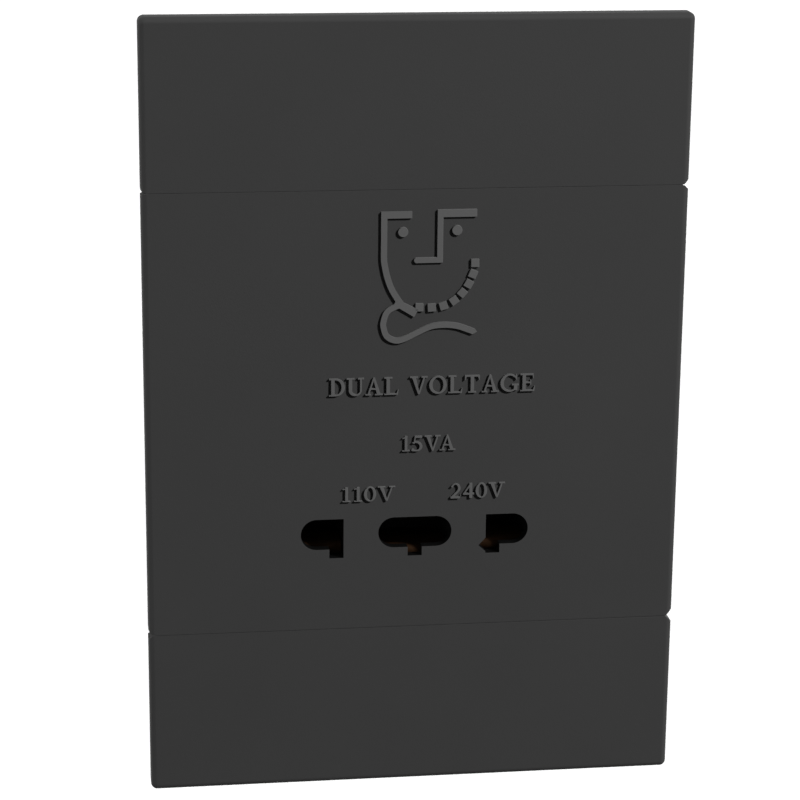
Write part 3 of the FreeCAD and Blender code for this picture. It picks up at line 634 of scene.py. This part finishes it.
def build_squares_along_line():
    """Raised squares that stand on the points of a line and turn along it."""
    tree, start, end = geometry_tree("squares_along_line", [
        ("Side", "NodeSocketFloat"), ("Height", "NodeSocketFloat"), ("Material", "NodeSocketMaterial")])
    side = start.outputs["Side"]
    size = node(tree, "ShaderNodeCombineXYZ", X=side, Y=start.outputs["Height"], Z=side)
    square = node(tree, "GeometryNodeMeshCube", Size=size.outputs[0])
    places = node(tree, "GeometryNodeCurveToPoints", {"mode": "EVALUATED"}, Curve=start.outputs["Geometry"])
    turn = node(tree, "FunctionNodeAlignRotationToVector", {"axis": "X", "pivot_axis": "Y"},
                Vector=places.outputs["Tangent"])
    copies = node(tree, "GeometryNodeInstanceOnPoints", Points=places.outputs["Points"],
                  Instance=square.outputs["Mesh"], Rotation=turn.outputs["Rotation"])
    dress(tree, copies, start, end)
    return tree


def line_curve(name, points):
    """An open line of straight runs."""
    curve = bpy.data.curves.new(name, "CURVE")
    curve.dimensions = "3D"
    line = curve.splines.new("POLY")
    line.points.add(len(points) - 1)
    for place, point in zip(line.points, points):
        place.co = (*point, 1.0)
    shape = bpy.data.objects.new(name, curve)
    bpy.context.scene.collection.objects.link(shape)
    return shape


def squares_on_jaw(points, side):
    """The row of squares along the symbol's jaw."""
    middle = FRONT + (MARK_SINK - MARK_HEIGHT) / 2
    shape = line_curve("jaw_line", [(x * MM, middle, z * MM) for x, z in points])
    modifier = shape.modifiers.new("squares", "NODES")
    modifier.node_group = build_squares_along_line()
    set_inputs(modifier, Side=side * MM, Height=MARK_HEIGHT + MARK_SINK, Material=materials["mark_plastic"])
    return rounded("symbol_jaw", baked(shape), MARK_ROUNDING, MARK_EDGE, "plate_plastic", "mark_plastic")


# Each line of signs: its text, left and right sides, foot and height, in millimetres on the plate
SIGN_LINES = {
    "supply_line": ("DUAL VOLTAGE", -14.0, 19.0, 3.2, 2.85),
    "power_line": ("15VA", -2.5, 6.3, -6.25, 2.5),
    "low_voltage_line": ("110V", -12.1, -3.3, -14.45, 2.42),
    "high_voltage_line": ("240V", 5.6, 14.5, -14.4, 2.45),
}
for name, line in SIGN_LINES.items():
    raised(name, line_of(*line))

# The symbol for a shaver outlet: points, widths and sizes in millimetres on the plate
FACE_SIDE = [(-5.42, 32.7), (-5.42, 30.0), (-5.42, 27.5), (-5.42, 25.4), (-5.32, 24.4), (-4.92, 22.5),
             (-4.22, 20.5), (-3.22, 18.75), (-2.6, 17.9)]
FACE_WIDTH = 0.97
CHIN = [(-3.6, 18.25), (-0.25, 16.4)]
CHIN_WIDTHS = (1.0, 1.35)
CORD_LINE = [(-2.9, 17.75), (-3.6, 17.5), (-4.85, 16.7), (-5.4, 15.2), (-5.4, 14.2), (-4.85, 12.75),
             (-3.5, 12.05), (-2.1, 12.3), (0.0, 13.3), (2.1, 14.2), (4.2, 14.42), (6.25, 14.2),
             (8.0, 13.6), (8.95, 13.21)]
CORD_WIDTH = 0.93
CORD_TIP = [(9.14, 13.63), (9.48, 13.2), (8.76, 12.79)]
EYES = {"symbol_eye_left": (-2.44, 29.46, 1.6), "symbol_eye_right": (6.08, 29.6, 1.62)}
JAW_END = rect(8.35, 23.63, 9.65, 24.95)
JAW = [(8.7, 22.54), (8.04, 20.96), (7.04, 19.54), (5.75, 18.33), (4.08, 17.5), (2.2, 17.25), (0.25, 17.33)]
JAW_SQUARE = 1.3
BROW_LEFT = rect(-5.9, 31.65, -1.04, 32.72)
BROW_RIGHT = rect(2.94, 31.7, 9.17, 32.93)
NOSE_BRIDGE = rect(2.94, 24.45, 3.87, 32.93)
NOSE_FOOT = rect(-0.3, 24.45, 3.87, 25.35)
NOSE_TIP = arc(-0.3, 24.9, 0.4, 0.45, 90, 270)

raised("symbol_left", [BROW_LEFT, stroke(eased(FACE_SIDE), FACE_WIDTH),
                       stroke(CHIN, CHIN_WIDTHS), stroke(eased(CORD_LINE), CORD_WIDTH), CORD_TIP])
raised("symbol_nose", [BROW_RIGHT, NOSE_BRIDGE, NOSE_FOOT, NOSE_TIP])
for name, (x, z, size) in EYES.items():
    raised(name, [arc(x, z, size / 2, size / 2, 0, 345, 23)])
squares_on_jaw(JAW, JAW_SQUARE)
raised("symbol_jaw_end", [JAW_END])


# Wire turns on the windings

def build_wire_turns():
    """Rounded loops of wire, one above the other."""
    tree, start, end = geometry_tree("wire_turns", [
        ("Width", "NodeSocketFloat"), ("Depth", "NodeSocketFloat"), ("Corner", "NodeSocketFloat"),
        ("Wire", "NodeSocketFloat"), ("Turns", "NodeSocketInt"), ("Material", "NodeSocketMaterial")])
    loop = node(tree, "GeometryNodeCurvePrimitiveQuadrilateral", Width=start.outputs["Width"],
                Height=start.outputs["Depth"])
    bent = node(tree, "GeometryNodeFilletCurve", {"mode": "POLY"}, Curve=loop.outputs["Curve"],
                Radius=start.outputs["Corner"], Count=7)
    section = node(tree, "GeometryNodeCurvePrimitiveCircle", Resolution=8)
    section_radius = math_node(tree, "DIVIDE", start.outputs["Wire"], 2.0)
    tree.links.new(section_radius, section.inputs["Radius"])
    wire = node(tree, "GeometryNodeCurveToMesh", Curve=bent.outputs[0],
                Profile_Curve=section.outputs["Curve"])
    step = node(tree, "ShaderNodeCombineXYZ", Z=start.outputs["Wire"])
    levels = node(tree, "GeometryNodeMeshLine", Count=start.outputs["Turns"], Offset=step.outputs[0])
    copies = node(tree, "GeometryNodeInstanceOnPoints", Points=levels.outputs["Mesh"],
                  Instance=wire.outputs["Mesh"])
    dress(tree, copies, start, end)
    return tree


wire_turns = build_wire_turns()

# Corner radius of the turns, and the wire's diameter on each winding
WIRE_CORNER = 3.0 * MM
WIRE_SIZES = {"primary": 0.36 * MM, "secondary": 0.5 * MM}


def wound(name, solid, wire_size):
    """The outer layer of wire on a winding's solid."""
    low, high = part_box(solid)
    turns = int((high[2] - low[2]) / wire_size)
    shape = bpy.data.objects.new(name, bpy.data.meshes.new(name))
    bpy.context.scene.collection.objects.link(shape)
    modifier = shape.modifiers.new("turns", "NODES")
    modifier.node_group = wire_turns
    set_inputs(modifier, Width=high[0] - low[0], Depth=high[1] - low[1], Corner=WIRE_CORNER,
               Wire=wire_size, Turns=turns, Material=materials["winding_copper"])
    mesh = baked(shape)
    spare = high[2] - low[2] - (turns - 1) * wire_size
    mesh.transform(Matrix.Translation(((low[0] + high[0]) / 2, (low[1] + high[1]) / 2, low[2] + spare / 2)))
    finished(name, smooth(mesh, 60.0), "winding_copper")


for winding, wire_size in WIRE_SIZES.items():
    wound(winding + "_turns", winding + "_coil", wire_size)


# Camera, light and floor

# Lens and sensor in millimetres, the camera's place in the frame, and its yaw, pitch and roll in degrees
LENS = 117.08
SENSOR = 36.0
CAMERA_PLACE = Vector((-56.46, -401.83, 116.14)) * MM
CAMERA_TURN = (-7.802, 16.033, 0.563)

# Direction, and strength and softness in degrees, of the suns; distance, size and power of the near lamp
KEY_TOWARDS = (1.0, -1.0, 1.0)
KEY_SUN = (3.12, 3.0)
NEAR_KEY = (0.6, 0.035, 2.1)
SIDE_TOWARDS = (-1.0, 0.13, 0.1)
SIDE_SUN = (2.9, 12.0)

# Tones for rays that light the object, and for rays that show the surroundings
FILL_TONE = (0.05, 0.05, 0.05)
WHITE = (1.0, 1.0, 1.0)
FLOOR_FILL_TONE = (0.03, 0.03, 0.03)
FLOOR_TONE = (0.9, 0.9, 0.9)

# The floor's glow where it is seen, and its height and half its width in metres
FLOOR_GLOW = 0.45
FLOOR_LEVEL = -1.1
FLOOR_HALF = 20.0


def camera_axes(yaw, pitch, roll):
    """The camera's right, up and back directions."""
    back = Vector((math.sin(yaw) * math.cos(pitch), -math.cos(yaw) * math.cos(pitch), math.sin(pitch)))
    right = Vector((0, 0, 1)).cross(back).normalized()
    up = back.cross(right)
    c, s = math.cos(roll), math.sin(roll)
    return c * right + s * up, c * up - s * right, back


def add_camera():
    """The camera at the photograph's place and lens."""
    data = bpy.data.cameras.new("camera")
    data.lens = LENS
    data.sensor_width = SENSOR
    data.sensor_fit = "HORIZONTAL"
    data.clip_start = 0.01
    data.clip_end = 200.0
    camera = bpy.data.objects.new("camera", data)
    bpy.context.scene.collection.objects.link(camera)
    turn = Matrix(camera_axes(*map(math.radians, CAMERA_TURN))).transposed().to_4x4()
    camera.matrix_world = Matrix.Translation(CAMERA_PLACE) @ turn
    bpy.context.scene.camera = camera


def add_sun(name, towards, strength, softness):
    """A distant lamp seen in one direction."""
    data = bpy.data.lights.new(name, "SUN")
    data.energy = strength
    data.angle = math.radians(softness)
    lamp = bpy.data.objects.new(name, data)
    bpy.context.scene.collection.objects.link(lamp)
    lamp.rotation_euler = Vector(towards).to_track_quat("Z", "Y").to_euler()


def add_near_lamp(name, towards, distance, size, power):
    """A small lamp near the object, aimed at it."""
    data = bpy.data.lights.new(name, "AREA")
    data.energy = power
    data.size = size
    lamp = bpy.data.objects.new(name, data)
    bpy.context.scene.collection.objects.link(lamp)
    lamp.location = Vector(towards).normalized() * distance + Vector((0, FRONT, 0))
    lamp.rotation_euler = Vector(towards).to_track_quat("Z", "Y").to_euler()


def seen_mask(tree):
    """1 for rays that show the surroundings: camera, gloss and glass."""
    path = tree.nodes.new("ShaderNodeLightPath").outputs
    first = math_node(tree, "MAXIMUM", path["Is Camera Ray"], path["Is Glossy Ray"])
    return math_node(tree, "MAXIMUM", first, path["Is Transmission Ray"])


def add_world():
    """White where it is seen, and a low even fill for the surfaces."""
    world = bpy.data.worlds.new("world")
    bpy.context.scene.world = world
    world.use_nodes = True
    tree = world.node_tree
    tone = mixed(tree, seen_mask(tree), FILL_TONE, WHITE)
    tree.links.new(tone, tree.nodes["Background"].inputs["Color"])


def add_floor():
    """A wide white floor that takes the object's shadow."""
    form = bmesh.new()
    bmesh.ops.create_grid(form, x_segments=1, y_segments=1, size=FLOOR_HALF)
    bmesh.ops.translate(form, verts=form.verts, vec=(0, 0, FLOOR_LEVEL))
    mesh = bpy.data.meshes.new("floor")
    form.to_mesh(mesh)
    form.free()
    floor = bpy.data.objects.new("floor", mesh)
    bpy.context.scene.collection.objects.link(floor)
    material, tree, shader = new_material("floor_white")
    seen = seen_mask(tree)
    tree.links.new(mixed(tree, seen, FLOOR_FILL_TONE, FLOOR_TONE), shader.inputs["Base Color"])
    tree.links.new(mixed(tree, seen, (0.0, 0.0, 0.0), WHITE), shader.inputs["Emission Color"])
    shader.inputs["Emission Strength"].default_value = FLOOR_GLOW
    shader.inputs["Roughness"].default_value = 1.0
    shader.inputs["Specular IOR Level"].default_value = 0.0
    mesh.materials.append(material)


add_camera()
add_sun("key", KEY_TOWARDS, *KEY_SUN)
add_near_lamp("near_key", KEY_TOWARDS, *NEAR_KEY)
add_sun("side", SIDE_TOWARDS, *SIDE_SUN)
add_world()
add_floor()
bpy.context.scene.view_settings.view_transform = "Standard"

for subpart in frame["record"]["subparts"]:
    solid = frame["nodes"][subpart["node"]]
    if solid.material_slots:
        for place in solid.material_slots:
            place.material = materials[subpart["material_slot"]]
    else:
        solid.data.materials.append(materials[subpart["material_slot"]])
